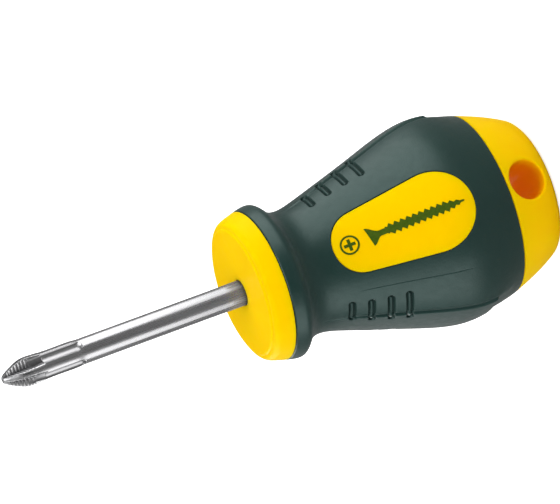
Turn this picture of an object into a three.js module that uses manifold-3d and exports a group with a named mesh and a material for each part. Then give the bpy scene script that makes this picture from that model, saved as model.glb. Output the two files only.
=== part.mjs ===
// Stubby cross-point screwdriver: a steel blade moulded into a hard plastic handle core,
// with a soft grip sleeve moulded over the core. Millimetres, +Z up.
// The tool stands on its butt: the origin is the centre of the flat butt face and +Z runs
// along the blade towards the point. The two windows of the grip face -Y and +Y.
import * as THREE from 'three';
import * as BufferGeometryUtils from 'three/addons/utils/BufferGeometryUtils.js';
import Module from 'manifold-3d';

const wasm = await Module();
wasm.setup();

// Whole tool
const HANDLE_LENGTH = 50;
const BLADE_REACH = 40.6;
const TOOL_LENGTH = HANDLE_LENGTH + BLADE_REACH;
const GAP = 0.3;
const DEGREE = Math.PI / 180;
const AROUND_HANDLE = 68;
const AROUND_BLADE = 48;
const AROUND_SMALL = 34;
const AROUND_GROOVE = 20;
const WINDOW_SEGMENTS = 9;
const SLOT_SEGMENTS = 5;

// Handle silhouette, radius at a height above the butt
const BUTT_FACE_RADIUS = 8.7;
const BUTT_RADIUS = 11.75;
const BELLY_RADIUS = 16;
const BELLY_HEIGHT = 16.6;
const CUTTER_SIZE = 3 * BELLY_RADIUS;
const NECK_RADIUS = 9.95;
const NECK_HEIGHT = 40;
const COLLAR_RADIUS = 12.3;
const COLLAR_HEIGHT = 45;
const FLANGE_RADIUS = 11.95;
const FACE_RADIUS = 9.8;
const FACE_STEP = 0.15;
const SLEEVE_BOTTOM = 8.7;
const SLEEVE_TOP = 46.7;

// Cross-section of the grip: a broad arc under each window, a flatter pad on each side
const CORNER_ANGLE = 65.5 * DEGREE;
const PANEL_ARC = 1.0965;
const PAD_ARC = 2.3;
const PAD_RAISE = 0.35;
const PAD_EDGE = 0.09;
const PAD_END_HEIGHT = 13.6;
const PAD_END_STEP = 0.8;
const SQUARE_NONE_ABOVE = 42;
const SQUARE_FULL_BELOW = 30;
const SQUARE_FULL_ABOVE = 14.5;

// Windows and the core under the sleeve
const WINDOW_BOTTOM = 14.9;
const WINDOW_TOP = 37.3;
const WINDOW_WIDTH = 12.6;
const WINDOW_NECK_WIDTH = 9.8;
const WAIST_AT_BUTT = 11.4;
const WAIST_AT_BELLY = 12.9;
const WAIST_AT_SLOTS = 9.4;
const WAIST_SLOTS_HEIGHT = 31;
const WAIST_AT_NECK = 7.4;
const WAIST_AT_COLLAR = 8.4;
const WAIST_STEPS = 10;

// Slots across the four ridges of the grip
const SLOT_HEIGHTS = [27.9, 30.65, 33.55, 36.45];
const SLOT_ANGLE = 59.3 * DEGREE;
const SLOT_LENGTH = 5.75;
const SLOT_LENGTH_STEP = 0.6;
const SLOT_WIDTH = 1.06;
const SLOT_DEPTH = 0.5;

// Hang hole
const HOLE_HEIGHT = 4.8;
const HOLE_RADIUS = 3.1;
const HOLE_FLARE = 0.35;

// Blade
const SHANK_RADIUS = 2;
const TANG_BOTTOM = 17;
const TANG_WING_BOTTOM = 22;
const TANG_WING_LENGTH = 5;
const TANG_WING_SPAN = 6.4;
const TANG_WING_THICKNESS = 2.2;
const BLADE_TURN = -21 * DEGREE;
const NOSE_RADIUS = 0.55;
const WING_RADIUS = 2.22;
const FLUTE_LENGTH = 6.9;
const FLUTE_NOSE_ROOT = 0.42;
const FLUTE_TILT = 6.6 * DEGREE;
const GROOVE_END = 12.3;
const GROOVE_RADIUS = 0.95;
const GROOVE_CENTRE = 2.3;

// Solids

function solid(geometry) {
  const bare = geometry.clone();
  bare.deleteAttribute('normal');
  bare.deleteAttribute('uv');
  const merged = BufferGeometryUtils.mergeVertices(bare, 1e-4);
  return new wasm.Manifold(new wasm.Mesh({
    numProp: 3,
    vertProperties: new Float32Array(merged.attributes.position.array),
    triVerts: new Uint32Array(merged.index.array),
  }));
}

function meshOf(name, manifold, material) {
  const result = manifold.getMesh();
  const geometry = new THREE.BufferGeometry();
  geometry.setAttribute('position', new THREE.BufferAttribute(result.vertProperties, 3));
  geometry.setIndex(new THREE.BufferAttribute(result.triVerts, 1));
  geometry.computeVertexNormals();
  const mesh = new THREE.Mesh(geometry, material);
  mesh.name = name;
  return mesh;
}

function union(manifolds) {
  return manifolds.reduce((whole, piece) => whole.add(piece));
}

function box(width, depth, height, centre) {
  const geometry = new THREE.BoxGeometry(width, depth, height);
  geometry.translate(centre.x, centre.y, centre.z);
  return solid(geometry);
}

// LatheGeometry turns its profile around +Y; this stands it up along +Z.
function lathe(profile, segments) {
  const geometry = new THREE.LatheGeometry(profile, segments);
  geometry.rotateX(Math.PI / 2);
  return geometry;
}

// Handle shape

const HANDLE_CURVE = new THREE.SplineCurve([
  new THREE.Vector2(BUTT_FACE_RADIUS, 0),
  new THREE.Vector2(10.6, 0.85),
  new THREE.Vector2(BUTT_RADIUS, 2.5),
  new THREE.Vector2(13.5, 6.4),
  new THREE.Vector2(15, 10.8),
  new THREE.Vector2(15.78, 14),
  new THREE.Vector2(BELLY_RADIUS, BELLY_HEIGHT),
  new THREE.Vector2(15.5, 20),
  new THREE.Vector2(13.62, 26.4),
  new THREE.Vector2(11.72, 32.9),
  new THREE.Vector2(10.48, 37.3),
  new THREE.Vector2(NECK_RADIUS, NECK_HEIGHT),
  new THREE.Vector2(10.35, 42.3),
  new THREE.Vector2(11.85, 43.85),
  new THREE.Vector2(COLLAR_RADIUS, COLLAR_HEIGHT),
  new THREE.Vector2(FLANGE_RADIUS, SLEEVE_TOP),
  new THREE.Vector2(11.5, 48.3),
  new THREE.Vector2(11.05, 49.3),
  new THREE.Vector2(10.3, 49.8),
]);
const HANDLE_STEPS = 32;
const HANDLE_OUTLINE = HANDLE_CURVE.getPoints(HANDLE_STEPS);

function smooth(from, to, value) {
  const t = THREE.MathUtils.clamp((value - from) / (to - from), 0, 1);
  return t * t * (3 - 2 * t);
}

function handleRadius(height) {
  const above = HANDLE_OUTLINE.findIndex((point) => point.y >= height);
  if (above <= 0) {
    return HANDLE_OUTLINE.at(above).x;
  }
  const low = HANDLE_OUTLINE[above - 1];
  const high = HANDLE_OUTLINE[above];
  return THREE.MathUtils.mapLinear(height, low.y, high.y, low.x, high.x);
}

// Distance from the axis to a circle of radius arc whose nearest point to the viewer is at 1.
function arcReach(angle, arc) {
  const back = arc - 1;
  return Math.sqrt(arc * arc - (back * Math.sin(angle)) ** 2) - back * Math.cos(angle);
}

// Radius of the grip at an angle from the window direction, for a silhouette radius.
function gripRadius(angle, height) {
  const quarter = Math.abs(Math.asin(Math.sin(angle)));
  const side = Math.PI / 2 - quarter;
  const fadeIn = smooth(SQUARE_NONE_ABOVE, SQUARE_FULL_BELOW, height);
  const squareness = fadeIn * smooth(SLEEVE_BOTTOM, SQUARE_FULL_ABOVE, height);
  const section = Math.min(arcReach(quarter, PANEL_ARC), arcReach(side, PAD_ARC));
  const onPad = smooth(CORNER_ANGLE, CORNER_ANGLE + PAD_EDGE, quarter);
  const abovePadEnd = smooth(PAD_END_HEIGHT, PAD_END_HEIGHT + PAD_END_STEP, height);
  const raise = PAD_RAISE * squareness * (onPad * abovePadEnd - 1);
  return handleRadius(height) * (1 + squareness * (section - 1)) + raise;
}

// The whole handle body, shrunk all round by inset.
function handleBody(inset) {
  const outline = [new THREE.Vector2(0, 0)];
  outline.push(...HANDLE_OUTLINE.map((point) => point.clone()));
  outline.push(new THREE.Vector2(0, HANDLE_OUTLINE.at(-1).y));
  const geometry = lathe(outline, AROUND_HANDLE);
  const position = geometry.attributes.position;
  for (let i = 0; i < position.count; i += 1) {
    const x = position.getX(i);
    const y = position.getY(i);
    const reach = Math.hypot(x, y);
    if (reach > 0.01) {
      const height = position.getZ(i);
      const scale = (gripRadius(Math.atan2(x, -y), height) - inset) / handleRadius(height);
      position.setXY(i, x * scale, y * scale);
    }
  }
  return solid(geometry);
}

// Window outline: a wide half ellipse at the belly, straight sides, a narrower one at the neck.
function windowShape(inset) {
  const wide = WINDOW_WIDTH / 2 - inset;
  const narrow = WINDOW_NECK_WIDTH / 2 - inset;
  const bottom = WINDOW_BOTTOM + inset;
  const top = WINDOW_TOP - inset;
  const shape = new THREE.Shape();
  shape.absellipse(0, bottom + wide, wide, wide, Math.PI, 2 * Math.PI);
  shape.absellipse(0, top - narrow, narrow, narrow, 0, Math.PI);
  return shape;
}

// Window prisms through both sides of the grip, outside the given distance from the middle.
function windowPrisms(inset, from) {
  const depth = CUTTER_SIZE / 2 - from;
  const options = { depth, bevelEnabled: false, curveSegments: WINDOW_SEGMENTS };
  const front = new THREE.ExtrudeGeometry(windowShape(inset), options);
  front.rotateX(Math.PI / 2);
  front.translate(0, -from, 0);
  const back = front.clone();
  back.rotateZ(Math.PI);
  return union([solid(front), solid(back)]);
}

// The waist of the core, under the sleeve.
function waist(clearance) {
  const bottom = SLEEVE_BOTTOM - 1;
  const top = SLEEVE_TOP + 1;
  const points = new THREE.SplineCurve([
    new THREE.Vector2(WAIST_AT_BUTT, bottom),
    new THREE.Vector2(WAIST_AT_BELLY, BELLY_HEIGHT),
    new THREE.Vector2(WAIST_AT_SLOTS, WAIST_SLOTS_HEIGHT),
    new THREE.Vector2(WAIST_AT_NECK, NECK_HEIGHT),
    new THREE.Vector2(WAIST_AT_COLLAR, top),
  ]).getPoints(WAIST_STEPS);
  points.forEach((point) => point.setX(point.x + clearance));
  const profile = [new THREE.Vector2(0, bottom), ...points, new THREE.Vector2(0, top)];
  return solid(lathe(profile, AROUND_SMALL));
}

// Pieces

function slotShape(length) {
  const half = (length - SLOT_WIDTH) / 2;
  const shape = new THREE.Shape();
  shape.absarc(half, 0, SLOT_WIDTH / 2, -Math.PI / 2, Math.PI / 2);
  shape.absarc(-half, 0, SLOT_WIDTH / 2, Math.PI / 2, 1.5 * Math.PI);
  return shape;
}

// Slots on the ridge at one corner; turn is the direction of the ridge around the axis.
function ridgeSlots(turn) {
  return SLOT_HEIGHTS.map((height, index) => {
    const shape = slotShape(SLOT_LENGTH - SLOT_LENGTH_STEP * index);
    const options = { depth: BELLY_RADIUS, bevelEnabled: false, curveSegments: SLOT_SEGMENTS };
    const geometry = new THREE.ExtrudeGeometry(shape, options);
    geometry.rotateX(Math.PI / 2);
    geometry.translate(0, -NECK_RADIUS / 2, height);
    geometry.rotateZ(turn);
    return solid(geometry);
  });
}

function gripSleeve(body) {
  const corners = [SLOT_ANGLE, -SLOT_ANGLE, Math.PI - SLOT_ANGLE, Math.PI + SLOT_ANGLE];
  const slots = union(corners.flatMap(ridgeSlots)).subtract(handleBody(SLOT_DEPTH));
  const length = SLEEVE_TOP - SLEEVE_BOTTOM - GAP;
  const middle = new THREE.Vector3(0, 0, (SLEEVE_TOP + SLEEVE_BOTTOM) / 2);
  return body
    .intersect(box(CUTTER_SIZE, CUTTER_SIZE, length, middle))
    .subtract(waist(GAP))
    .subtract(windowPrisms(0, WAIST_AT_NECK / 2))
    .subtract(slots);
}

// Hole through the butt from window side to window side, flared at both mouths.
function hangHole() {
  const mouth = handleRadius(HOLE_HEIGHT);
  const profile = [
    new THREE.Vector2(0, -BELLY_RADIUS),
    new THREE.Vector2(HOLE_RADIUS + 2 * HOLE_FLARE, -BELLY_RADIUS),
    new THREE.Vector2(HOLE_RADIUS + HOLE_FLARE, -mouth),
    new THREE.Vector2(HOLE_RADIUS + HOLE_FLARE / 3, -mouth + HOLE_FLARE),
    new THREE.Vector2(HOLE_RADIUS, -mouth + 3 * HOLE_FLARE),
  ];
  const mirrored = profile.map((point) => new THREE.Vector2(point.x, -point.y)).reverse();
  const geometry = new THREE.LatheGeometry([...profile, ...mirrored], AROUND_SMALL);
  geometry.translate(0, 0, HOLE_HEIGHT);
  return solid(geometry);
}

// Front plate: a flat disc standing a little proud of the rounded rim of the flange.
function frontDisc() {
  const profile = [
    new THREE.Vector2(0, SLEEVE_TOP),
    new THREE.Vector2(FACE_RADIUS + FACE_STEP, SLEEVE_TOP),
    new THREE.Vector2(FACE_RADIUS + FACE_STEP, HANDLE_LENGTH - FACE_STEP),
    new THREE.Vector2(FACE_RADIUS, HANDLE_LENGTH),
    new THREE.Vector2(0, HANDLE_LENGTH),
  ];
  return solid(lathe(profile, AROUND_HANDLE));
}

function bladeBore() {
  const depth = HANDLE_LENGTH - TANG_BOTTOM + 2 * GAP;
  const radius = SHANK_RADIUS + GAP;
  const bore = new THREE.CylinderGeometry(radius, radius, depth, AROUND_SMALL);
  bore.rotateX(Math.PI / 2);
  bore.translate(0, 0, TANG_BOTTOM - GAP + depth / 2);
  return solid(bore).add(tangWings(GAP));
}

function handleCore(body) {
  const buttCentre = new THREE.Vector3(0, 0, 0);
  const butt = body.intersect(box(CUTTER_SIZE, CUTTER_SIZE, 2 * SLEEVE_BOTTOM, buttCentre));
  const flangeCentre = new THREE.Vector3(0, 0, SLEEVE_TOP + HANDLE_LENGTH / 2);
  const flange = body.intersect(box(CUTTER_SIZE, CUTTER_SIZE, HANDLE_LENGTH, flangeCentre));
  const pads = body.intersect(windowPrisms(GAP, WAIST_AT_NECK / 2));
  return union([butt, flange, frontDisc(), waist(0), pads])
    .subtract(hangHole())
    .subtract(bladeBore());
}

function tangWings(clearance) {
  const span = TANG_WING_SPAN + 2 * clearance;
  const thickness = TANG_WING_THICKNESS + 2 * clearance;
  const length = TANG_WING_LENGTH + 2 * clearance;
  const middle = new THREE.Vector3(0, 0, TANG_WING_BOTTOM + TANG_WING_LENGTH / 2);
  return box(span, thickness, length, middle);
}

// Round bar with its tang end, and the swollen, pointed head of the cross point.
function bladeBar() {
  const head = new THREE.SplineCurve([
    new THREE.Vector2(SHANK_RADIUS, TOOL_LENGTH - 13.4),
    new THREE.Vector2(2.08, TOOL_LENGTH - 12),
    new THREE.Vector2(2.12, TOOL_LENGTH - 7),
    new THREE.Vector2(WING_RADIUS, TOOL_LENGTH - 4.5),
    new THREE.Vector2(2, TOOL_LENGTH - 2.9),
    new THREE.Vector2(1.32, TOOL_LENGTH - 1.3),
    new THREE.Vector2(NOSE_RADIUS, TOOL_LENGTH),
  ]).getPoints(14);
  const profile = [
    new THREE.Vector2(0, TANG_BOTTOM),
    new THREE.Vector2(SHANK_RADIUS - GAP, TANG_BOTTOM),
    new THREE.Vector2(SHANK_RADIUS, TANG_BOTTOM + GAP),
    ...head,
    new THREE.Vector2(0, TOOL_LENGTH),
  ];
  return solid(lathe(profile, AROUND_BLADE));
}

// Square-cornered flute beside the wings; its root leans towards the axis at the nose.
function pointFlute(turn) {
  const size = 3 * SHANK_RADIUS;
  const geometry = new THREE.BoxGeometry(size, size, 2 * FLUTE_LENGTH);
  geometry.translate(size / 2, size / 2, 0);
  geometry.rotateZ(-Math.PI / 4);
  geometry.rotateY(-FLUTE_TILT);
  geometry.translate(FLUTE_NOSE_ROOT, 0, TOOL_LENGTH);
  geometry.rotateZ(turn);
  return solid(geometry);
}

// Long round-bottomed groove that carries each flute on down the bar.
function shankGroove(turn) {
  const top = TOOL_LENGTH - FLUTE_LENGTH / 2;
  const bottom = TOOL_LENGTH - GROOVE_END;
  const length = top - bottom;
  const groove = new THREE.CylinderGeometry(GROOVE_RADIUS, GROOVE_RADIUS, length, AROUND_GROOVE);
  groove.rotateX(Math.PI / 2);
  groove.translate(GROOVE_CENTRE, 0, (top + bottom) / 2);
  groove.rotateZ(turn);
  const end = new THREE.SphereGeometry(GROOVE_RADIUS, AROUND_GROOVE, AROUND_GROOVE / 2);
  end.rotateX(Math.PI / 2);
  end.translate(GROOVE_CENTRE, 0, bottom);
  end.rotateZ(turn);
  return solid(groove).add(solid(end));
}

function blade() {
  const quarters = [1, 3, 5, 7].map((eighth) => BLADE_TURN + (eighth * Math.PI) / 4);
  const cuts = quarters.flatMap((turn) => [pointFlute(turn), shankGroove(turn)]);
  return bladeBar().add(tangWings(0)).subtract(union(cuts));
}

// Assembly

const steel = new THREE.MeshStandardMaterial({ color: 0xb4b4b6, roughness: 0.28, metalness: 1 });
const yellow = new THREE.MeshStandardMaterial({ color: 0xf8cc00, roughness: 0.38, metalness: 0 });
const green = new THREE.MeshStandardMaterial({ color: 0x2c443f, roughness: 0.62, metalness: 0 });

const body = handleBody(0);
const group = new THREE.Group();
group.add(meshOf('blade', blade(), steel));
group.add(meshOf('handle_core', handleCore(body), yellow));
group.add(meshOf('grip_sleeve', gripSleeve(body), green));

export default group;
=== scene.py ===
import math

import bmesh
import bpy
import numpy as np
from mathutils import Matrix, Vector


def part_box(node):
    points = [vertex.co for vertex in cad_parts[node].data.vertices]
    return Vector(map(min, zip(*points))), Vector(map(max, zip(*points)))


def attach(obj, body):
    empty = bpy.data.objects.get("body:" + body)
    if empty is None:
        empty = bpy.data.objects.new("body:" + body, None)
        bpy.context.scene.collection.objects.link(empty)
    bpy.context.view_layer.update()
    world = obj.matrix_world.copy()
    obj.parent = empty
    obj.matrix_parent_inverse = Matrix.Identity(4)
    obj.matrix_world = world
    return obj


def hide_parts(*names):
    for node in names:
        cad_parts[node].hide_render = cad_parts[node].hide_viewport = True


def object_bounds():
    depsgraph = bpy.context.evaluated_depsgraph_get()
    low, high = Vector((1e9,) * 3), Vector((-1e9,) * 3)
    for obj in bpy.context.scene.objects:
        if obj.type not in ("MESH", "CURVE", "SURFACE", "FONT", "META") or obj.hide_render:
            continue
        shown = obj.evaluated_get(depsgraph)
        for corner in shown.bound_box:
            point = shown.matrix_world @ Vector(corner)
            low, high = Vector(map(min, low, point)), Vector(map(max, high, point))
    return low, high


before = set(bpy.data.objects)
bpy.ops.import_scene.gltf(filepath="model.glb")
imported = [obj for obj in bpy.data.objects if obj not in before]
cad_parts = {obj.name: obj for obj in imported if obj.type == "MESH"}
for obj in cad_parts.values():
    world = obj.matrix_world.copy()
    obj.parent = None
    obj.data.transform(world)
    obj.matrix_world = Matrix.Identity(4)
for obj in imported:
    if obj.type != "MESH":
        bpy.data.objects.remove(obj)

# Looks of a stubby cross-point screwdriver. It stands on its butt: +Z runs along the blade, the
# two windows of the grip face -Y and +Y. Shapes are worked out in millimetres.

MM = 0.001
CAD_LOW, CAD_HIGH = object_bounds()
CORE_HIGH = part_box("handle_core")[1]
SLEEVE_LOW, SLEEVE_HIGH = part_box("grip_sleeve")
BLADE_LOW, BLADE_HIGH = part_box("blade")

# Heights, from the frame. The sleeve reaches a little further than its CAD solid, and the core
# comes up to it, so that only a hairline seam is left between them.
HANDLE_TOP = CORE_HIGH.z / MM
TOOL_TOP = BLADE_HIGH.z / MM
TANG_BOTTOM = BLADE_LOW.z / MM
SEAM = 0.05
SLEEVE_REACH = 0.1
SLEEVE_BOTTOM = round(SLEEVE_LOW.z / MM, 2) - SLEEVE_REACH
SLEEVE_TOP = round(SLEEVE_HIGH.z / MM, 2) + SLEEVE_REACH

# Silhouette of the grip, (height above the butt, radius)
OUTLINE = [
    (1.8, 11.35), (2.9, 11.95), (6.4, 13.5), (10.8, 15), (14, 15.78), (16.6, 16),
    (20, 15.5), (26.4, 13.62), (32.9, 11.72), (37.3, 10.48), (39.6, 9.98), (41.2, 9.98),
    (42.3, 10.35), (43.2, 11.1), (43.85, 11.85), (44.3, 12.2), (45, 12.3), (46.7, 11.95),
    (48.3, 11.5),
]

# Cross-section of the grip. Heights say where a feature starts and is full, and where four are
# given, where it starts to fade and ends. An arc is a side's radius of curvature, as a multiple of
# the side's distance from the axis.
SQUARE_HEIGHTS = (SLEEVE_BOTTOM, 14.5, 30, 42)
CORNER = math.radians(65.5)
CORNER_BLEND = 0.012
PANEL_ARC = 1.0965
PAD_ARC = 2.3
PAD_RAISE = 0.35
PAD_SIDE = 0.03
PAD_HEIGHTS = (13.8, 14.4)
CREASE_DEPTH = 0.14
CREASE_WIDTH = math.radians(0.9)
CREASE_HEIGHTS = (14.3, 18.8)
MOULD_LINE = math.radians(-38.8)
MOULD_LINE_DEPTH = 0.05
MOULD_LINE_WIDTH = math.radians(0.3)
MOULD_LINE_HEIGHTS = (17, 20, 33, 36)

# Windows
WINDOW_BOTTOM = 14.9
WINDOW_TOP = 37.3
WINDOW_HALF_WIDTH = 6.3
WINDOW_NECK_HALF_WIDTH = 4.9
PANEL_EDGE = math.radians(38)

# Slots across the ridges: height, angles of their two ends from the window direction
SLOTS = [(27.9, 46.7, 71.5), (30.65, 47.9, 71.5), (33.55, 48.6, 71), (36.45, 47.9, 69)]
SLOT_HALF_WIDTH = 0.53
SLOT_DEPTH = 0.42
SLOT_CROWN = 0.26
SLOT_WALL = 0.16
SLOT_MARGIN = 0.1


# Curves and surfaces

def smooth(low, high, x):
    """Rises from 0 at low to 1 at high; falls instead where low is the greater."""
    t = np.clip((x - low) / (high - low), 0, 1)
    return t * t * (3 - 2 * t)


def plateau(limits, x):
    """0 up to the first limit, 1 between the middle two, 0 again from the last."""
    start, full, fade, end = limits
    return smooth(start, full, x) * smooth(end, fade, x)


def spline(points):
    """Natural cubic through (x, y) points, as a function of x."""
    x, y = np.array(points, float).T
    count = len(x)
    gap = np.diff(x)
    matrix = np.eye(count)
    right = np.zeros(count)
    for i in range(1, count - 1):
        matrix[i, i - 1:i + 2] = gap[i - 1], 2 * (gap[i - 1] + gap[i]), gap[i]
        right[i] = 6 * ((y[i + 1] - y[i]) / gap[i] - (y[i] - y[i - 1]) / gap[i - 1])
    bend = np.linalg.solve(matrix, right)

    def value(at):
        at = np.asarray(at, float)
        i = np.clip(np.searchsorted(x, at) - 1, 0, count - 2)
        before, after = at - x[i], x[i + 1] - at
        cubic = (bend[i] * after ** 3 + bend[i + 1] * before ** 3) / (6 * gap[i])
        line = (y[i] / gap[i] - bend[i] * gap[i] / 6) * after
        return cubic + line + (y[i + 1] / gap[i] - bend[i + 1] * gap[i] / 6) * before

    return value


silhouette = spline(OUTLINE)


def curve_through(points, count):
    """A smooth curve of count points through (radius, height) points, evenly spaced along it."""
    corners = np.array(points, float)
    travel = np.concatenate([[0], np.cumsum(np.hypot(*np.diff(corners, axis=0).T))])
    fine = np.linspace(0, travel[-1], count)
    return np.stack([spline(np.stack([travel, side], -1))(fine) for side in corners.T], -1)


def soft_minimum(first, second, width, fullness=1):
    """The smaller of two radii, rounded over where they cross; fullness 0 leaves the edge uncut."""
    share = np.clip(0.5 + (second - first) / (2 * width), 0, 1)
    return second + (first - second) * share - fullness * width * share * (1 - share)


def arc_reach(angle, arc):
    """Distance from the axis to a circle of radius arc whose nearest point lies at distance 1."""
    back = arc - 1
    return np.sqrt(arc * arc - (back * np.sin(angle)) ** 2) - back * np.cos(angle)


def slot_depth(quarter, z, radius):
    """Depth of the round-ended slots below the grip's surface; a low tongue runs along each floor."""
    depth = np.zeros_like(radius)
    for height, start, end in SLOTS:
        middle, reach = math.radians(start + end) / 2, math.radians(end - start) / 2
        beyond = np.maximum((np.abs(quarter - middle) - reach) * radius + SLOT_HALF_WIDTH, 0)
        distance = np.hypot(beyond, z - height) - SLOT_HALF_WIDTH
        crown = SLOT_CROWN * smooth(-SLOT_WALL / 2, -SLOT_HALF_WIDTH, distance)
        inside = smooth(SLOT_WALL / 2, -SLOT_WALL / 2, distance)
        depth = np.maximum(depth, (SLOT_DEPTH - crown) * inside)
    return depth


def grip_radius(angle, z):
    """Radius of the grip; angle is measured from the window direction."""
    angle, z = np.broadcast_arrays(np.asarray(angle, float), np.asarray(z, float))
    quarter = np.abs(np.arcsin(np.clip(np.sin(angle), -1, 1)))
    square = plateau(SQUARE_HEIGHTS, z)
    panel, pad = arc_reach(quarter, PANEL_ARC), arc_reach(math.pi / 2 - quarter, PAD_ARC)
    section = soft_minimum(panel, pad, CORNER_BLEND)
    on_pad = smooth(CORNER, CORNER + PAD_SIDE, quarter) * smooth(*PAD_HEIGHTS, z)
    radius = silhouette(z) * (1 + square * (section - 1)) + square * PAD_RAISE * (on_pad - 1)
    slot = slot_depth(quarter, z, radius)
    crease = CREASE_DEPTH * np.exp(-((quarter - CORNER) / CREASE_WIDTH) ** 2)
    crease = crease * smooth(*CREASE_HEIGHTS, z) * smooth(SLOT_MARGIN, 0, slot)
    off_line = (np.arctan(np.tan(angle)) - MOULD_LINE) / MOULD_LINE_WIDTH
    line = MOULD_LINE_DEPTH * np.exp(-off_line ** 2) * plateau(MOULD_LINE_HEIGHTS, z)
    return radius - square * crease - line - slot


def panel_angle(x, z):
    """Angle at which the grip surface lies a distance x to the side of the window's middle."""
    angle = np.zeros_like(x)
    for _ in range(12):
        angle = np.arcsin(np.clip(x / grip_radius(angle, z), -1, 1))
    return angle


def polar(radius, angle, z, facing=0):
    """Points from radius, angle and height; facing turns the window direction from -Y."""
    angle, z = np.asarray(angle, float) + facing, np.asarray(z, float)
    radius, angle, z = np.broadcast_arrays(radius, angle, z)
    return np.stack([radius * np.sin(angle), -radius * np.cos(angle), z], -1)


def fillet(distance, radius):
    """How far a rounded edge lies below the surface at a distance from the edge."""
    inside = np.clip(radius - distance, 0, radius)
    return radius - np.sqrt(np.maximum(radius * radius - inside * inside, 0))


def ruler(*stops):
    """Positions from stop to stop; each stop is (position, spacing before it)."""
    values = [np.array([stops[0]])]
    for end, spacing in stops[1:]:
        start = values[-1][-1]
        steps = round(abs(end - start) / spacing)
        values.append(np.linspace(start, end, max(2, 1 + steps))[1:])
    return np.concatenate(values)


# Mesh building

WELD = 0.002
SHARP = math.radians(40)
PAST_EDGE = 1.0


class Skin:
    """Collects grids of points into one mesh; matching edges are welded at the end."""

    def __init__(self):
        self.points = []
        self.faces = []
        self.count = 0

    def add(self, grid, flip=False, closed=False):
        """Adds a grid of points, rows by columns; closed joins the last column to the first."""
        rows, columns = grid.shape[:2]
        index = self.count + np.arange(rows * columns).reshape(rows, columns)
        if closed:
            index = np.concatenate([index, index[:, :1]], 1)
        quads = np.stack([index[:-1, :-1], index[:-1, 1:], index[1:, 1:], index[1:, :-1]], -1)
        quads = quads.reshape(-1, 4)
        self.faces.append(quads[:, ::-1] if flip else quads)
        self.points.append(grid.reshape(-1, 3))
        self.count += rows * columns

    def add_walled(self, outer, inner, angle, z, facing, wall_rows):
        """Adds an outer and an inner closed surface, and the wall between their first rows."""
        share = np.linspace(0, 1, wall_rows)[:, None]
        wall = outer[0] + (inner[0] - outer[0]) * share
        self.add(polar(outer, angle, z, facing), closed=True)
        self.add(polar(inner, angle, z, facing), flip=True, closed=True)
        self.add(polar(wall, angle[0], z[0], facing), closed=True)

    def build(self, name, material):
        mesh = bpy.data.meshes.new(name)
        points = np.concatenate(self.points) * MM
        mesh.from_pydata(points.tolist(), [], np.concatenate(self.faces).tolist())
        work = bmesh.new()
        work.from_mesh(mesh)
        bmesh.ops.remove_doubles(work, verts=work.verts, dist=WELD * MM)
        bmesh.ops.dissolve_degenerate(work, edges=work.edges, dist=WELD * MM / 4)
        bmesh.ops.recalc_face_normals(work, faces=work.faces)
        work.to_mesh(mesh)
        work.free()
        finish_surface(mesh, material)
        piece = bpy.data.objects.new(name, mesh)
        bpy.context.scene.collection.objects.link(piece)
        return piece


def finish_surface(mesh, material):
    mesh.materials.clear()
    mesh.materials.append(material)
    mesh.shade_smooth()
    mesh.set_sharp_from_angle(angle=SHARP)


def spread(near, layers, border, count, power=1):
    """Rows of points near an edge, carried on to a border, and each row's distance from the edge."""
    share = (np.arange(1, count + 1) / count)[:, None, None] ** power
    grid = np.concatenate([near, near[-1] + (border - near[-1]) * share])
    return grid, np.concatenate([layers, np.full(count, PAST_EDGE)])[:, None]


def frame_loop(columns, rows):
    """Loop round a rectangle of angles and heights, anticlockwise from its lower left corner."""
    across = [(a, rows[0]) for a in columns[:-1]]
    up = [(columns[-1], z) for z in rows[:-1]]
    back = [(a, rows[-1]) for a in columns[:0:-1]]
    down = [(columns[0], z) for z in rows[:0:-1]]
    return np.array(across + up + back + down)


# Window outline in the (sideways, height) plane, as seen along the window's axis

WINDOW_LOW_CENTRE = WINDOW_BOTTOM + WINDOW_HALF_WIDTH
WINDOW_HIGH_CENTRE = WINDOW_TOP - WINDOW_NECK_HALF_WIDTH
WINDOW_CENTRE = (0, (WINDOW_BOTTOM + WINDOW_TOP) / 2)


def window_outline(count):
    """Points and outward normals, anticlockwise from the upper right, count of them to each curve."""
    narrowing = WINDOW_HALF_WIDTH - WINDOW_NECK_HALF_WIDTH
    lean = math.asin(narrowing / (WINDOW_HIGH_CENTRE - WINDOW_LOW_CENTRE))
    top_turn = np.linspace(lean, math.pi - lean, count)
    bottom_turn = np.linspace(math.pi - lean, 2 * math.pi + lean, count)
    share = np.linspace(0, 1, count)[1:-1, None]

    def arc(turn, radius, height):
        return np.stack([radius * np.cos(turn), height + radius * np.sin(turn)], -1)

    top = arc(top_turn, WINDOW_NECK_HALF_WIDTH, WINDOW_HIGH_CENTRE)
    bottom = arc(bottom_turn, WINDOW_HALF_WIDTH, WINDOW_LOW_CENTRE)
    left = top[-1] + (bottom[0] - top[-1]) * share
    right = bottom[-1] + (top[0] - bottom[-1]) * share
    side = np.ones(count - 2)
    turns = np.concatenate([top_turn, side * (math.pi - lean), bottom_turn, side * lean])
    return np.concatenate([top, left, bottom, right]), np.stack([np.cos(turns), np.sin(turns)], -1)


def outline_towards(targets, centre, outline, normals):
    """Outline points, and their normals, in the directions of the targets seen from the centre."""
    def bearing(points):
        return np.arctan2(points[:, 1] - centre[1], points[:, 0] - centre[0])

    order = np.argsort(bearing(outline))
    known, wanted = bearing(outline)[order], bearing(targets)

    def pick(values):
        sides = [np.interp(wanted, known, side, period=2 * math.pi) for side in values[order].T]
        return np.stack(sides, -1)

    return pick(outline), pick(normals)


# Grip sleeve. Rows and columns lie closer together at its rims, slots and window edges.

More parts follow.
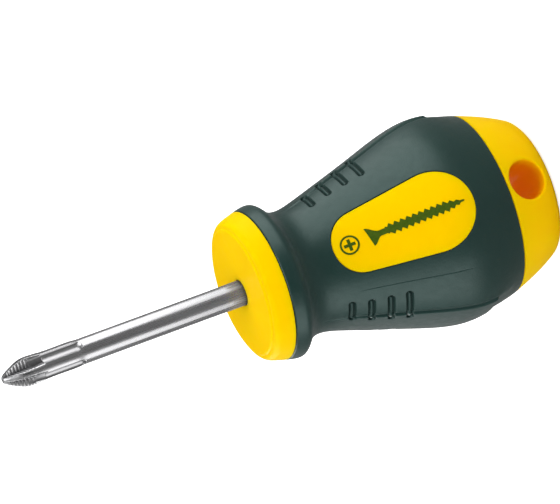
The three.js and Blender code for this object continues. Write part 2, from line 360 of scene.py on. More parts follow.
PATCH_BOTTOM, PATCH_TOP = 12.8, 40
RIM_BAND = 0.3
LOW_ROWS = ruler(SLEEVE_BOTTOM, (SLEEVE_BOTTOM + RIM_BAND, 0.04), (PATCH_BOTTOM, 0.3))
WINDOW_ROWS = ruler(
    PATCH_BOTTOM, (15.6, 0.12), (27, 0.3), (28.8, 0.08), (29.75, 0.25), (31.55, 0.08),
    (32.65, 0.25), (34.45, 0.08), (35.55, 0.25), (37.35, 0.08), (PATCH_TOP, 0.25))
HIGH_ROWS = ruler(PATCH_TOP, (SLEEVE_TOP - RIM_BAND, 0.2), (SLEEVE_TOP, 0.04))
SLEEVE_ROWS = np.concatenate([LOW_ROWS, WINDOW_ROWS[1:], HIGH_ROWS[1:]])
SIDE_COLUMNS = np.radians(ruler(
    38, (40, 0.15), (45, 0.5), (51, 0.25), (63.5, 0.45), (68.5, 0.15), (73, 0.25), (107, 2),
    (111.5, 0.25), (116.5, 0.15), (129, 0.45), (135, 0.25), (140, 0.5), (142, 0.15)))
PANEL_COLUMNS = np.linspace(-PANEL_EDGE, PANEL_EDGE, 61)
SLEEVE_LAYERS = np.array([0, 0.015, 0.035, 0.06, 0.09, 0.13, 0.19, 0.28, 0.45, 0.75])
SLEEVE_EDGE = 0.13
RIM_EDGE = 0.22
WALL_ROWS = 5

# Waist of the core under the sleeve, (height, radius)
WAIST = [(7, 11.4), (16.6, 12.9), (31, 9.4), (40, 7.4), (48, 8.4)]
waist_radius = spline(WAIST)


def sleeve_surface(angle, z, edge_drop=0):
    rim = np.minimum(z - SLEEVE_BOTTOM, SLEEVE_TOP - z)
    return grip_radius(angle, z) - fillet(rim, RIM_EDGE) - edge_drop


def window_patch():
    """Angles, heights and edge distances of a grid from the window's edge to the panel's border."""
    loop = frame_loop(PANEL_COLUMNS, WINDOW_ROWS)
    border = np.stack([grip_radius(loop[:, 0], loop[:, 1]) * np.sin(loop[:, 0]), loop[:, 1]], -1)
    edge, normal = outline_towards(border, WINDOW_CENTRE, *window_outline(400))
    near = edge + SLEEVE_LAYERS[:, None, None] * normal
    flat, distance = spread(near, SLEEVE_LAYERS, border, count=24, power=1.2)
    return panel_angle(flat[..., 0], flat[..., 1]), flat[..., 1], distance


def add_sleeve_sheet(skin, columns, rows, facing):
    """Adds the sleeve's outside and inside over a rectangle of angles and heights."""
    angle, z = np.meshgrid(columns, rows)
    skin.add(polar(sleeve_surface(angle, z), angle, z, facing))
    skin.add(polar(waist_radius(z) + SEAM, angle, z, facing), flip=True)


def add_sleeve_rims(skin, columns, facing):
    """Closes the sleeve between its outside and inside, at both ends."""
    share = np.linspace(0, 1, WALL_ROWS)[:, None]
    for z in (SLEEVE_ROWS[0], SLEEVE_ROWS[-1]):
        outer = sleeve_surface(columns, np.full_like(columns, z))
        inner = waist_radius(z) + SEAM
        skin.add(polar(outer + (inner - outer) * share, columns, z, facing))


def grip_sleeve(material):
    skin = Skin()
    angle, z, distance = window_patch()
    outer = sleeve_surface(angle, z, fillet(distance, SLEEVE_EDGE))
    inner = np.broadcast_to(waist_radius(z) + SEAM, outer.shape)
    for facing in (0, math.pi):
        add_sleeve_sheet(skin, PANEL_COLUMNS, LOW_ROWS, facing)
        add_sleeve_sheet(skin, PANEL_COLUMNS, HIGH_ROWS, facing)
        skin.add_walled(outer, inner, angle, z, facing, WALL_ROWS)
        add_sleeve_sheet(skin, SIDE_COLUMNS, SLEEVE_ROWS, facing)
        for columns in (PANEL_COLUMNS, SIDE_COLUMNS):
            add_sleeve_rims(skin, columns, facing)
    return skin.build("grip_sleeve_soft", material)


# Handle core. The butt's profile is (radius, height) from the edge of its face up to the sleeve.

BUTT_PROFILE = [
    (8.7, 0), (9.4, 0.08), (10.15, 0.45), (10.85, 1.05), (11.35, 1.8), (11.95, 2.9), (13.5, 6.4),
    (14.35, 8.7)]
BUTT_POINTS = 400
HOLE_HEIGHT = 4.8
HOLE_RADIUS = 3.15
HOLE_EDGE = 0.5
HOLE_SIDE = math.radians(32)
HOLE_COLUMNS = np.linspace(-HOLE_SIDE, HOLE_SIDE, 33)
HOLE_LAYERS = np.linspace(0, 1, 9) ** 1.5 * HOLE_EDGE
CORE_SIDE_COLUMNS = np.linspace(HOLE_SIDE, math.pi - HOLE_SIDE, 60)
CORE_EDGE = 0.15

# Flange and face, (radius, height): up the straight side, over the rim, then a small ledge
FLANGE_TOP = 48.2
FLANGE_BAND = 0.2
FLANGE_RIM = [(11.36, 48.7), (11.18, 49.1), (10.94, 49.4), (10.68, 49.6), (10.42, 49.69)]
FACE_LEDGE = [
    (10.26, 49.71), (10.16, 49.76), (10.06, 49.87), (9.95, 49.95), (9.8, 49.99), (9.6, HANDLE_TOP)]
BORE_MOUTH = [(2.2, HANDLE_TOP), (2.13, HANDLE_TOP - 0.03), (2.08, HANDLE_TOP - 0.1)]
BORE_RADIUS = 2.06
BORE_END = TANG_BOTTOM - 0.3


def butt_curve():
    """Heights and radii along the outside of the butt, from the face's edge up to the sleeve."""
    radius, height = curve_through(BUTT_PROFILE, BUTT_POINTS).T
    height = np.maximum.accumulate(height - height[0])
    return height * (SLEEVE_BOTTOM - SEAM) / height[-1], radius


BUTT_HEIGHTS, BUTT_RADII = butt_curve()
BUTT_ROWS = np.interp(
    ruler(0, (120, 8), (370, 12), (BUTT_POINTS - 1, 3)), np.arange(BUTT_POINTS), BUTT_HEIGHTS)


def butt_radius(z):
    base = np.interp(z, BUTT_HEIGHTS, BUTT_RADII)
    return base - fillet(BUTT_HEIGHTS[-1] - z, CORE_EDGE)


def hole_patch():
    """Points of a grid from the hang hole's edge outwards, on the -Y side."""
    loop = frame_loop(HOLE_COLUMNS, BUTT_ROWS)
    border = np.stack([butt_radius(loop[:, 1]) * np.sin(loop[:, 0]), loop[:, 1]], -1)
    away = border - (0, HOLE_HEIGHT)
    bearing = np.arctan2(away[:, 1], away[:, 0])
    normal = np.stack([np.cos(bearing), np.sin(bearing)], -1)
    near = (0, HOLE_HEIGHT) + (HOLE_RADIUS + HOLE_LAYERS[:, None, None]) * normal
    flat, distance = spread(near, HOLE_LAYERS, border, count=10)
    x, z = flat[..., 0], np.clip(flat[..., 1], 0, BUTT_HEIGHTS[-1])
    depth = np.sqrt(butt_radius(z) ** 2 - x ** 2) - fillet(distance, HOLE_EDGE)
    return np.stack([x, -depth, z], -1)


def core_profile():
    """Outline (radius, height) from the seam at the butt, up the waist and flange, to the bore."""
    seam_low, seam_high = BUTT_HEIGHTS[-1], SLEEVE_TOP + SEAM
    waist_heights = ruler(seam_low + FLANGE_BAND, (seam_high - FLANGE_BAND, 1.5))
    waist = [(float(waist_radius(z)), z) for z in waist_heights]
    side_heights = ruler(seam_high, (seam_high + FLANGE_BAND, 0.03), (FLANGE_TOP, 0.25))
    side = [(float(silhouette(z) - fillet(z - seam_high, CORE_EDGE)), z) for z in side_heights]
    butt, foot, head = float(butt_radius(seam_low)), waist[0][0], waist[-1][0]
    entry = [(butt * s + foot * (1 - s), seam_low) for s in (1, 0.8, 0.4, 0)]
    exits = [(head * (1 - s) + side[0][0] * s, seam_high) for s in (0, 0.5, 0.9)]
    corners = side[-1:] + FLANGE_RIM + FACE_LEDGE
    rim = list(map(tuple, curve_through(corners, 5 * (len(corners) - 1) + 1)))
    face = [(r, HANDLE_TOP) for r in ruler(9, (3, 1))]
    bore = [(BORE_RADIUS, z) for z in ruler(HANDLE_TOP - 1, (30, 4), (29, 1))]
    pocket = [(r, BORE_END) for r in (BORE_RADIUS, 0.8, 0)]
    return entry + waist + exits + side[:-1] + rim + face + BORE_MOUTH + bore + pocket


def core_body(material):
    skin = Skin()
    half_turn = np.concatenate([HOLE_COLUMNS[:-1], CORE_SIDE_COLUMNS[:-1]])
    around = np.concatenate([half_turn, half_turn + math.pi])
    front = hole_patch()
    back = front * (-1, -1, 1)
    angle, z = np.meshgrid(CORE_SIDE_COLUMNS, BUTT_ROWS)
    for facing, patch in ((0, front), (math.pi, back)):
        skin.add(patch, closed=True)
        skin.add(polar(butt_radius(z), angle, z, facing))
    mouth, share = front[0], np.linspace(0, 1, 9)[:, None, None]
    far_mouth = mouth * (1, -1, 1)
    skin.add(mouth + (far_mouth - mouth) * share, closed=True)
    base = [(r, 0) for r in ruler(float(BUTT_RADII[0]), (0, 1))]
    for outline in (base, core_profile()):
        radius, height = np.array(outline).T[..., None]
        skin.add(polar(radius, around, height), closed=True)
    return skin.build("handle_core_hard", material)


PAD_LAYERS = np.array([0, 0.015, 0.035, 0.06, 0.09, 0.13, 0.19, 0.3, 0.5])
PAD_EDGE = 0.16
PAD_ROOT = 1


def window_pad(material, facing):
    """Closed block under one window, rounded at its visible edge, rooted in the core."""
    outline, normals = window_outline(60)
    near = outline - (SEAM + PAD_LAYERS[:, None, None]) * normals
    spine_heights = np.clip(near[-1][:, 1], WINDOW_LOW_CENTRE, WINDOW_HIGH_CENTRE)
    spine = np.stack([np.zeros(len(outline)), spine_heights], -1)
    flat, distance = spread(near, PAD_LAYERS, spine, count=14)
    angle, z = panel_angle(flat[..., 0], flat[..., 1]), flat[..., 1]
    top = grip_radius(angle, z) - fillet(distance, PAD_EDGE)
    root = np.broadcast_to(waist_radius(z) - PAD_ROOT, top.shape)
    skin = Skin()
    skin.add_walled(top, root, angle, z, facing, wall_rows=4)
    return skin.build("window_pad_block", material)


def join_solids(target, others):
    """Adds closed solids to the target's mesh and removes the others."""
    for other in others:
        modifier = target.modifiers.new("join", "BOOLEAN")
        modifier.operation, modifier.solver, modifier.object = "UNION", "MANIFOLD", other
    evaluated = target.evaluated_get(bpy.context.evaluated_depsgraph_get())
    mesh = bpy.data.meshes.new_from_object(evaluated)
    target.modifiers.clear()
    target.data = mesh
    for other in others:
        bpy.data.objects.remove(other)


def handle_core(material):
    core = core_body(material)
    join_solids(core, [window_pad(material, facing) for facing in (0, math.pi)])
    finish_surface(core.data, material)
    return core


# Blade. Depths are measured down from the nose, and turns from the nearest wing of the point.

SHANK_RADIUS = 2
BLADE_TURN = math.radians(-21)

# Outside of the point, (depth, radius), and its rounded nose, (share of the first radius, rise)
POINT_OUTLINE = [
    (0, 0.55), (0.5, 0.9), (1.3, 1.32), (2.1, 1.7), (2.9, 2), (3.7, 2.18), (4.6, 2.22),
    (5.8, 2.16), (7, 2.12), (10, 2.1), (12.2, 2.08), (13, 2.01), (14, SHANK_RADIUS)]
POINT_LENGTH = 14
NOSE = np.array([(0, 0.05), (0.5, 0.04), (0.85, 0.02)])

# Flutes with their ribs, and the grooves behind them. NO_CUT is a radius well outside the bar.
NO_CUT = 9
LEAST_SINE = 1e-3
EDGE_FULLNESS = 0.5
WING_ROUNDING = 0.55
FLUTE_ROOT = 0.42
FLUTE_SLOPE = math.tan(math.radians(6.6))
FLUTE_RUN_OUT = (6.6, 6.95)
RIB_PITCH = 0.54
RIB_HEIGHT = 0.1
RIB_SHARPNESS = 1.5
RIB_DEPTHS = (0.7, 0.9, 4.75, 4.85)
GROOVE_START, GROOVE_END = 4, 12.3
GROOVE_RADIUS = 0.95
GROOVE_CENTRE = 2.3
GROOVE_ROUNDING = 1.1

# Tang, pressed into two flat wings; their heights are above the butt
WING_HEIGHTS = (21.4, 22, 27, 27.6)
WING_SPAN, WING_THICKNESS = 3.2, 1.1
WING_MARGIN = 0.6
TANG_BEVEL = 0.3

# Columns over half a quarter turn, in degrees, and rows, closer together at edges and ribs
QUARTER_COLUMNS = [
    0, 4, 8, 11, 13, 14.3, 15.3, 16.1, 16.8, 17.4, 18, 18.6, 19.2, 19.8, 20.4, 21, 21.6, 22.3,
    23.1, 23.9, 24.9, 26.2, 28, 31, 35, 40, 45]
BLADE_ROWS = ruler(
    0, (0.9, 0.06), (4.9, 0.045), (6.5, 0.12), (7.1, 0.04), (11.9, 0.4), (13.4, 0.06),
    (TOOL_TOP - HANDLE_TOP - 0.5, 1), (TOOL_TOP - WING_HEIGHTS[-1] - WING_MARGIN, 1.5),
    (TOOL_TOP - WING_HEIGHTS[0] + WING_MARGIN, 0.15),
    (TOOL_TOP - TANG_BOTTOM - TANG_BEVEL, 0.8), (TOOL_TOP - TANG_BOTTOM, 0.15))


def blade_radius(turn, depth):
    """Radius of the bar and its point, with ribbed flutes and the long grooves behind them."""
    radius = spline(POINT_OUTLINE)(np.minimum(depth, POINT_LENGTH))
    saw = 1 - np.abs(2 * ((depth / RIB_PITCH) % 1) - 1) ** RIB_SHARPNESS
    ribs = RIB_HEIGHT * saw * plateau(RIB_DEPTHS, depth)
    wall = (FLUTE_ROOT + FLUTE_SLOPE * depth) / math.sqrt(2) + ribs
    flute = wall / np.maximum(np.sin(turn), LEAST_SINE) + NO_CUT * smooth(*FLUTE_RUN_OUT, depth)
    from_groove = math.pi / 4 - turn
    offset = GROOVE_CENTRE * np.sin(from_groove)
    end = np.clip(depth - GROOVE_END, 0, GROOVE_RADIUS)
    size = np.sqrt(GROOVE_RADIUS ** 2 - end ** 2)
    along = (depth > GROOVE_START) & (depth < GROOVE_END + GROOVE_RADIUS)
    floor = GROOVE_CENTRE * np.cos(from_groove) - np.sqrt(np.maximum(size ** 2 - offset ** 2, 0))
    groove = np.where(along & (np.abs(offset) < size), floor, NO_CUT)
    rounding = WING_ROUNDING * np.minimum(radius, SHANK_RADIUS)
    point = soft_minimum(radius, flute, rounding, EDGE_FULLNESS)
    return soft_minimum(point, groove, GROOVE_ROUNDING, EDGE_FULLNESS)


def tang_radius(angle, z, radius):
    """Radius of the bar where its tang is pressed into two flat wings."""
    span = WING_SPAN / np.maximum(np.abs(np.cos(angle)), LEAST_SINE)
    thickness = WING_THICKNESS / np.maximum(np.abs(np.sin(angle)), LEAST_SINE)
    wings = np.maximum(np.minimum(span, thickness), radius)
    return radius + (wings - radius) * plateau(WING_HEIGHTS, z)


def blade(material):
    half = np.radians(QUARTER_COLUMNS)
    quarter = np.concatenate([half, (math.pi / 2 - half)[-2:0:-1]])
    turn = np.concatenate([quarter + k * math.pi / 2 for k in range(4)])
    from_wing = np.abs((turn + math.pi / 4) % (math.pi / 2) - math.pi / 4)
    columns, rows = np.meshgrid(turn, BLADE_ROWS)
    radius = blade_radius(np.broadcast_to(from_wing, rows.shape), rows)
    radius = tang_radius(columns + BLADE_TURN, TOOL_TOP - rows, radius)
    to_end = TOOL_TOP - TANG_BOTTOM - rows
    radius = radius - TANG_BEVEL * smooth(TANG_BEVEL, 0, to_end)
    radius = np.concatenate([NOSE[:, :1] * radius[0], radius, [radius[-1] / 2, radius[-1] * 0]])
    rows = np.concatenate([rows[0] - NOSE[:, 1:], rows, rows[-1:], rows[-1:]])
    height = TOOL_TOP - NOSE[0, 1] - rows
    skin = Skin()
    skin.add(polar(radius, turn + BLADE_TURN + math.pi / 2, height), closed=True)
    return skin.build("blade_steel_bar", material)


# Print on the windows: a generic cross-point sign and a wood screw. Places are (along the window
# towards the butt, across it), measured from the middle of the print.

PRINT_THICKNESS = 0.02
PRINT_MIDDLE = (WINDOW_BOTTOM + WINDOW_TOP) / 2 + 0.3
SIGN_CENTRE = -8.3
SIGN_RING = (1.2, 1.5)
SIGN_ARM, SIGN_ARM_HALF_WIDTH = 0.9, 0.24
SCREW_START, SCREW_NECK, SCREW_TIP = -5.2, -2.6, 9.9
SCREW_HEAD, SCREW_HEAD_TAPER, SCREW_HEAD_END = 1.5, 1.05, -3.5
SCREW_CORE, SCREW_THREAD = 0.45, 0.5
SCREW_PITCH = 0.95
SCREW_LEAN = -0.22
SCREW_POINT_LENGTH = 3
SCREW_THREAD_START = (-2.9, -2.2)
LEAST_LINE = 0.02


def add_print(skin, flat, facing):
    """Adds a thin closed plate over the window, from a grid of (along, across) positions."""
    x, z = flat[..., 1], PRINT_MIDDLE - flat[..., 0]
    angle = panel_angle(x, z)
    surface = grip_radius(angle, z)
    top = polar(surface + PRINT_THICKNESS, angle, z, facing)
    under = polar(surface - PRINT_THICKNESS, angle, z, facing)
    skin.add(top)
    skin.add(under, flip=True)
    for side in (np.s_[0], np.s_[-1], np.s_[:, 0], np.s_[:, -1]):
        skin.add(np.stack([top[side], under[side]]))


def strip(along, low, high, lean=0):
    """Grid of a strip along the window between two edges; lean tilts the lines across it."""
    low, high = (np.broadcast_to(edge, along.shape)[:, None] for edge in (low, high))
    across = low + (high - low) * np.linspace(0, 1, 9)
    return np.stack([along[:, None] + lean * across, across], -1)


def ring(centre, inner, outer):
    turn = np.linspace(0, 2 * math.pi, 49)[:, None]
    radius = np.linspace(inner, outer, 3)
    return np.stack([centre + radius * np.cos(turn), radius * np.sin(turn)], -1)


def screw_strip():
    """Side view of a wood screw: countersunk head, slanting threads, drawn-out point."""
    along = ruler(SCREW_START, (SCREW_TIP, 0.06))
    head = SCREW_HEAD - SCREW_HEAD_TAPER * smooth(SCREW_START, SCREW_HEAD_END, along)
    tooth = np.abs(((along - SCREW_NECK) / SCREW_PITCH) % 1 - 0.5) * 2
    taper = np.clip((SCREW_TIP - along) / SCREW_POINT_LENGTH, 0.03, 1) ** 0.7
    threads = (SCREW_CORE + SCREW_THREAD * tooth) * smooth(*SCREW_THREAD_START, along) * taper
    half = np.where(along < SCREW_NECK, head, np.maximum(threads, LEAST_LINE))
    return strip(along, -half, half, SCREW_LEAN)


def window_print(name, material, facing):
    arm, half = SIGN_ARM, SIGN_ARM_HALF_WIDTH
    upright = ruler(SIGN_CENTRE - half, (SIGN_CENTRE + half, 0.1))
    left = ruler(SIGN_CENTRE - arm, (SIGN_CENTRE - half, 0.2))
    right = ruler(SIGN_CENTRE + half, (SIGN_CENTRE + arm, 0.2))
    plates = [ring(SIGN_CENTRE, *SIGN_RING), strip(upright, -arm, arm), screw_strip()]
    plates += [strip(left, -half, half), strip(right, -half, half)]
    skin = Skin()
    for plate in plates:
        add_print(skin, plate, facing)
    return skin.build(name, material)


# Materials. Colours are linear; noise scales are per metre.

GRIP_DARK, GRIP_LIGHT = (0.005, 0.025, 0.021), (0.008, 0.033, 0.028)
# Painted shade: the rubber's colour down in occluded slots and creases, faded out over the openness span
# below
GRIP_PAINTED_SHADE = (0.002, 0.012, 0.01)
GRIP_GLOSS_TINT = (0.8, 1, 0.96)
GRIP_SHADE_SPAN = (0.35, 0.9)
YELLOW_DARK, YELLOW_LIGHT = (0.87, 0.53, 0), (0.9, 0.555, 0)
YELLOW_IN_REFLECTIONS = (0.3, 0.27, 0.22)
YELLOW_GLOSS_TINT = (1, 0.75, 0.02)
# Painted light in the hang hole: an orange colour and a faint glow for light passing through the plastic
BORE_PAINTED_LIGHT, BORE_PAINTED_GLOW = (0.85, 0.4, 0), (1, 0.28, 0)
BORE_FADE = 0.35
BORE_DEPTHS = (7 * MM, 12.8 * MM)
STEEL_DARK, STEEL_LIGHT = (0.5, 0.5, 0.51), (0.6, 0.6, 0.61)
# Painted shade: the steel's colour down in occluded flutes and grooves, faded out over the openness span
# below
STEEL_PAINTED_SHADE = (0.16, 0.16, 0.165)
STEEL_SHADE_SPAN = (0.45, 0.95)
BAR_SURFACE = (1.75 * MM, 1.95 * MM)
INK_DARK, INK_LIGHT = (0.035, 0.075, 0.002), (0.055, 0.1, 0.004)
FLOOR_DARK, FLOOR_LIGHT = (0.86, 0.86, 0.86), (0.9, 0.9, 0.9)
FLOOR_BOUNCE, FLOOR_IN_REFLECTIONS = (0.7, 0.7, 0.7), (0.16, 0.16, 0.16)


def socket(shader, name, value):
    shader.inputs[name].default_value = value


class Nodes:
    """Small helper for building a material's nodes."""

    def __init__(self, name):
        self.material = bpy.data.materials.new(name)
        self.material.use_nodes = True
        self.tree = self.material.node_tree
        self.shader = self.tree.nodes["Principled BSDF"]
        self.place = self.new("ShaderNodeTexCoord").outputs["Object"]

    def new(self, kind, **settings):
        node = self.tree.nodes.new(kind)
        for key, value in settings.items():
            setattr(node, key, value)
        return node

    def link(self, source, target):
        self.tree.links.new(source, target)

    def feed(self, name, source):
        self.link(source, self.shader.inputs[name])

    def set(self, name, value):
        """Sets one of the shader's inputs to a number or a colour."""
        socket(self.shader, name, (*value, 1) if isinstance(value, tuple) else value)

    def noise(self, scale, detail, stretch=None):
        source = self.place
        if stretch:
            mapping = self.new("ShaderNodeMapping")
            socket(mapping, "Scale", stretch)
            self.link(source, mapping.inputs["Vector"])
            source = mapping.outputs["Vector"]
        node = self.new("ShaderNodeTexNoise")
        socket(node, "Scale", scale)
        socket(node, "Detail", detail)
        self.link(source, node.inputs["Vector"])
        return node.outputs["Fac"]

    def between(self, factor, low, high, span=(0.3, 0.7)):
        """Runs from low to high while the factor runs over the span."""
        node = self.new("ShaderNodeMapRange")
        self.link(factor, node.inputs["Value"])
        for name, value in zip(("From Min", "From Max", "To Min", "To Max"), (*span, low, high)):
            socket(node, name, value)
        return node.outputs["Result"]

    def mix(self, factor, first, second):
        """Colour between two colours, each a tuple or an output."""
        node = self.new("ShaderNodeMix", data_type="RGBA")
        self.link(factor, node.inputs["Factor"])
        for target, colour in ((node.inputs[6], first), (node.inputs[7], second)):
            if isinstance(colour, tuple):
                target.default_value = (*colour, 1)
            else:
                self.link(colour, target)
        return node.outputs[2]

    def blend(self, factor, first, second):
        """Number between two outputs."""
        node = self.new("ShaderNodeMix")
        for target, source in ((0, factor), (2, first), (3, second)):
            self.link(source, node.inputs[target])
        return node.outputs[0]

    def times(self, first, second):
        node = self.new("ShaderNodeMath", operation="MULTIPLY")
        self.link(first, node.inputs[0])
        self.link(second, node.inputs[1])
        return node.outputs[0]

    def reach(self, axes, centre=(0, 0)):
        """Distance from a centre, counted along one or two axes only."""
        split = self.new("ShaderNodeSeparateXYZ")
        self.link(self.place, split.inputs[0])
        flat = self.new("ShaderNodeCombineXYZ")
        for axis, target in zip(axes, "XY"):
            self.link(split.outputs[axis], flat.inputs[target])
        away = self.new("ShaderNodeVectorMath", operation="DISTANCE")
        self.link(flat.outputs[0], away.inputs[0])
        away.inputs[1].default_value = (*centre, 0)
        return away.outputs["Value"]

    def bump(self, height, strength, distance, after=None):
        node = self.new("ShaderNodeBump")
        socket(node, "Strength", strength)
        socket(node, "Distance", distance)
        self.link(height, node.inputs["Height"])
        if after:
            self.link(after, node.inputs["Normal"])
        return node.outputs["Normal"]

    def openness(self, distance):
        """1 on open surfaces, falling towards 0 in slots, creases and grooves; the materials use it to
        paint shade.
        """
        node = self.new("ShaderNodeAmbientOcclusion", samples=8)
        socket(node, "Distance", distance)
        return node.outputs["AO"]

    def light_path(self, kind):
        """1 for the named kind of ray, 0 for others."""
        return self.new("ShaderNodeLightPath").outputs[f"Is {kind} Ray"]


def rubber():
    """Dark green soft plastic, finely grained; painted shade darkens it and dulls its gloss down in its
    slots and creases.
    """
    nodes = Nodes("grip_rubber_soft")
    colour = nodes.mix(nodes.between(nodes.noise(scale=55, detail=4), 0, 1), GRIP_DARK, GRIP_LIGHT)
    # Painted shade: ambient occlusion darkens the colour and dulls the gloss in slots and creases
    openness = nodes.openness(0.9 * MM)
    unshaded = nodes.between(openness, 0, 1, GRIP_SHADE_SPAN)
    nodes.feed("Base Color", nodes.mix(unshaded, GRIP_PAINTED_SHADE, colour))
    nodes.feed("Specular IOR Level", nodes.between(openness, 0.2, 0.6, GRIP_SHADE_SPAN))
    nodes.feed("Roughness", nodes.between(nodes.noise(scale=900, detail=3), 0.34, 0.44))
    grain = nodes.bump(nodes.noise(scale=3600, detail=3), strength=0.4, distance=0.04 * MM)
    swell = nodes.noise(scale=900, detail=3)
    nodes.feed("Normal", nodes.bump(swell, strength=0.2, distance=0.08 * MM, after=grain))
    nodes.set("Specular Tint", GRIP_GLOSS_TINT)
    nodes.set("Sheen Weight", 0.1)
    nodes.set("Sheen Roughness", 0.4)
    return nodes.material


def yellow_plastic():
    """Smooth yellow plastic. The walls of the hang hole are painted orange, with a faint painted glow,
    for light that passes through the plastic. Reflections show it grey, so the plated bar isn't tinted by
    it."""
    nodes = Nodes("core_plastic_yellow")
    plain = nodes.mix(
        nodes.between(nodes.noise(scale=40, detail=3), 0, 1), YELLOW_DARK, YELLOW_LIGHT)
    hole = HOLE_RADIUS * MM
    within = nodes.between(
        nodes.reach("XZ", (0, HOLE_HEIGHT * MM)), 1, 0, (hole, hole + BORE_FADE * MM))
    deep = nodes.between(nodes.reach("Y"), 1, 0, BORE_DEPTHS)
    in_bore = nodes.times(within, deep)
    # Painted light: the hole's walls turn orange, less glossy and faintly glowing, for light passing
    # through the plastic
    shown = nodes.mix(in_bore, plain, BORE_PAINTED_LIGHT)
    nodes.feed("Base Color", nodes.mix(nodes.light_path("Glossy"), shown, YELLOW_IN_REFLECTIONS))
    nodes.feed("Specular IOR Level", nodes.between(in_bore, 0.03, 0.02, (0, 1)))
    nodes.feed("Emission Strength", nodes.between(in_bore, 0, 0.12, (0, 1)))
    nodes.set("Emission Color", BORE_PAINTED_GLOW)
    nodes.feed("Roughness", nodes.between(nodes.noise(scale=700, detail=3), 0.32, 0.42))
    grain = nodes.noise(scale=3800, detail=2)
    nodes.feed("Normal", nodes.bump(grain, strength=0.12, distance=0.02 * MM))
    nodes.set("Specular Tint", YELLOW_GLOSS_TINT)
    nodes.set("Subsurface Weight", 0.35)
    socket(nodes.shader, "Subsurface Radius", (4 * MM, 1.5 * MM, 0.1 * MM))
    nodes.set("Subsurface Scale", 1)
    return nodes.material


def steel():
    """Satin plated steel, drawn lengthwise; painted shade darkens it in its grooves, and it is rougher
    below the bar's surface.
    """
    nodes = Nodes("blade_steel_satin")
    lines = nodes.noise(scale=3000, detail=3, stretch=(1, 1, 0.02))
    bright = nodes.mix(nodes.between(lines, 0, 1), STEEL_DARK, STEEL_LIGHT)
    # Painted shade: ambient occlusion darkens the steel's colour in its flutes and grooves
    unshaded = nodes.between(nodes.openness(1.3 * MM), 0, 1, STEEL_SHADE_SPAN)
    nodes.feed("Base Color", nodes.mix(unshaded, STEEL_PAINTED_SHADE, bright))
    on_bar = nodes.between(nodes.reach("XY"), 0, 1, BAR_SURFACE)
    inner, outer = nodes.between(lines, 0.3, 0.42), nodes.between(lines, 0.22, 0.32)
    nodes.feed("Roughness", nodes.blend(on_bar, inner, outer))
    nodes.feed("Normal", nodes.bump(lines, strength=0.12, distance=0.01 * MM))
    nodes.set("Metallic", 1)
    return nodes.material


def ink():
    nodes = Nodes("window_ink_green")
    shade = nodes.noise(scale=2600, detail=3)
    nodes.feed("Base Color", nodes.mix(nodes.between(shade, 0, 1), INK_DARK, INK_LIGHT))
    nodes.feed("Roughness", nodes.between(shade, 0.45, 0.6))
    nodes.set("Specular IOR Level", 0.1)
    return nodes.material


def floor_material():
    """Pale floor: white to the camera, dimmer in the light it sends up, dimmer still in reflections."""
    nodes = Nodes("floor_pale")
    pale = nodes.mix(nodes.between(nodes.noise(scale=9, detail=3), 0, 1), FLOOR_DARK, FLOOR_LIGHT)
    unseen = nodes.mix(nodes.light_path("Glossy"), FLOOR_BOUNCE, FLOOR_IN_REFLECTIONS)
    seen = nodes.light_path("Camera")
    nodes.feed("Base Color", nodes.mix(seen, unseen, pale))
    nodes.set("Roughness", 0.8)
    nodes.feed("Emission Strength", nodes.between(seen, 0, 0.75, (0, 1)))
    nodes.set("Emission Color", (1, 1, 1))
    return nodes.material


# Stage: floor, studio light and camera, in metres

FLOOR_HALF_SIZE = 5
FLOOR_GAP = 0.1 * MM
STUDIO_LIGHT, STUDIO_IN_REFLECTIONS, STUDIO_SEEN = 0.28, 0.08, 1.0

# Softboxes: azimuth from the camera's side, elevation, distance, (width, height), radiance
SOFTBOXES = {
    "key_softbox": (78, 5, 0.15, (0.22, 0.13), 2.3),
    "fill_softbox": (-68, 8, 0.15, (0.13, 0.13), 1.85),
    "rim_softbox": (-140, 15, 0.4, (0.25, 0.2), 3.6),
    "top_softbox": (10, 65, 0.6, (0.6, 0.6), 2.8),
    "back_softbox": (180, 55, 0.8, (0.5, 0.5), 1),
}

# The tool's slope is the direction of its point in the picture. Its picture is about as wide as the
# frame, and its middle lies slightly off the frame's.
VIEW_AZIMUTH = math.radians(-6)
VIEW_ELEVATION = math.radians(18.7)
TOOL_SLOPE = math.radians(200.12)
VIEW_DISTANCE = 2.8
CLIP_END = 20
TOOL_SHARE = 1.00268
MIDDLE_ABOVE = 0.0007
MIDDLE_RIGHT = 0.00125


def direction(azimuth, elevation):
    """Unit vector from the tool; azimuth turns from -Y towards +X."""
    level = math.cos(elevation)
    return Vector((math.sin(azimuth) * level, -math.cos(azimuth) * level, math.sin(elevation)))


def add_floor():
    mesh = bpy.data.meshes.new("floor")
    size = FLOOR_HALF_SIZE
    corners = [(-size, -size, 0), (size, -size, 0), (size, size, 0), (-size, size, 0)]
    mesh.from_pydata(corners, [], [(0, 1, 2, 3)])
    mesh.materials.append(floor_material())
    floor = bpy.data.objects.new("floor", mesh)
    bpy.context.scene.collection.objects.link(floor)
    floor.location.z = CAD_LOW.z - FLOOR_GAP


def add_world():
    """White to the camera, a dim studio for what lights the tool, dimmer still in reflections."""
    world = bpy.data.worlds.new("studio")
    bpy.context.scene.world = world
    world.use_nodes = True
    tree = world.node_tree
    path = tree.nodes.new("ShaderNodeLightPath").outputs
    unseen = tree.nodes.new("ShaderNodeMapRange")
    socket(unseen, "To Min", STUDIO_LIGHT)
    socket(unseen, "To Max", STUDIO_IN_REFLECTIONS)
    tree.links.new(path["Is Glossy Ray"], unseen.inputs["Value"])
    level = tree.nodes.new("ShaderNodeMapRange")
    socket(level, "To Max", STUDIO_SEEN)
    tree.links.new(path["Is Camera Ray"], level.inputs["Value"])
    tree.links.new(unseen.outputs["Result"], level.inputs["To Min"])
    background = tree.nodes["Background"]
    tree.links.new(level.outputs["Result"], background.inputs["Strength"])
    socket(background, "Color", (1, 1, 1, 1))


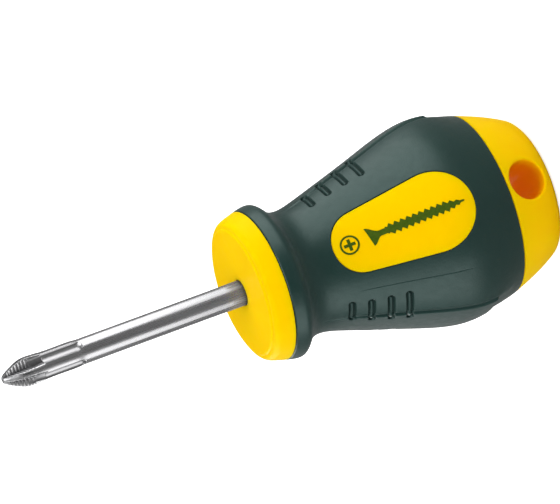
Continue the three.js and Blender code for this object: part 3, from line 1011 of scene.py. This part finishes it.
def add_softbox(name, azimuth, elevation, distance, size, radiance):
    """Area light facing the tool, hidden from the camera; its angles are in degrees."""
    light = bpy.data.lights.new(name, "AREA")
    light.shape, (light.size, light.size_y) = "RECTANGLE", size
    light.energy = radiance * math.pi * size[0] * size[1]
    softbox = bpy.data.objects.new(name, light)
    bpy.context.scene.collection.objects.link(softbox)
    towards = direction(math.radians(azimuth) + VIEW_AZIMUTH, math.radians(elevation))
    softbox.location = (CAD_LOW + CAD_HIGH) / 2 + towards * distance
    softbox.rotation_mode = "QUATERNION"
    softbox.rotation_quaternion = towards.to_track_quat("Z", "Y")
    softbox.visible_camera = False


def add_camera(pieces):
    """Camera looking down at the tool, rolled so that the blade points to the lower left."""
    back = direction(VIEW_AZIMUTH, VIEW_ELEVATION)
    roll = math.pi / 2 - TOOL_SLOPE
    level_right = Vector((0, 0, 1)).cross(back).normalized()
    level_up = back.cross(level_right)
    right = level_right * math.cos(roll) + level_up * math.sin(roll)
    up = back.cross(right)
    points = np.concatenate([np.array([v.co for v in piece.data.vertices]) for piece in pieces])
    near = 1 - points @ np.array(back) / VIEW_DISTANCE
    across, above = points @ np.array(right) / near, points @ np.array(up) / near
    width = (across.max() - across.min()) / TOOL_SHARE
    middle = right * ((across.max() + across.min()) / 2 + MIDDLE_RIGHT * width)
    middle += up * ((above.max() + above.min()) / 2 - MIDDLE_ABOVE * width)
    camera = bpy.data.objects.new("camera", bpy.data.cameras.new("camera"))
    bpy.context.scene.collection.objects.link(camera)
    camera.data.lens = camera.data.sensor_width * VIEW_DISTANCE / width
    camera.data.clip_end = CLIP_END
    camera.location = middle + back * VIEW_DISTANCE
    camera.rotation_mode = "QUATERNION"
    camera.rotation_quaternion = Matrix((right, up, back)).transposed().to_quaternion()
    bpy.context.scene.camera = camera


def seat(piece, material_slot, *nodes):
    """Rides a piece on the body, in place of CAD nodes if any are named."""
    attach(piece, "root")
    if nodes:
        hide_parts(*nodes)
    return piece


sleeve = seat(grip_sleeve(rubber()), "grip_rubber", "grip_sleeve")
core = seat(handle_core(yellow_plastic()), "core_plastic", "handle_core")
bar = seat(blade(steel()), "blade_steel", "blade")
print_ink = ink()
for side, facing in (("front", 0), ("back", math.pi)):
    seat(window_print(f"window_print_{side}", print_ink, facing), "core_plastic")

add_floor()
add_world()
for name, settings in SOFTBOXES.items():
    add_softbox(name, *settings)
add_camera([sleeve, core, bar])
bpy.context.scene.view_settings.view_transform = "Standard"
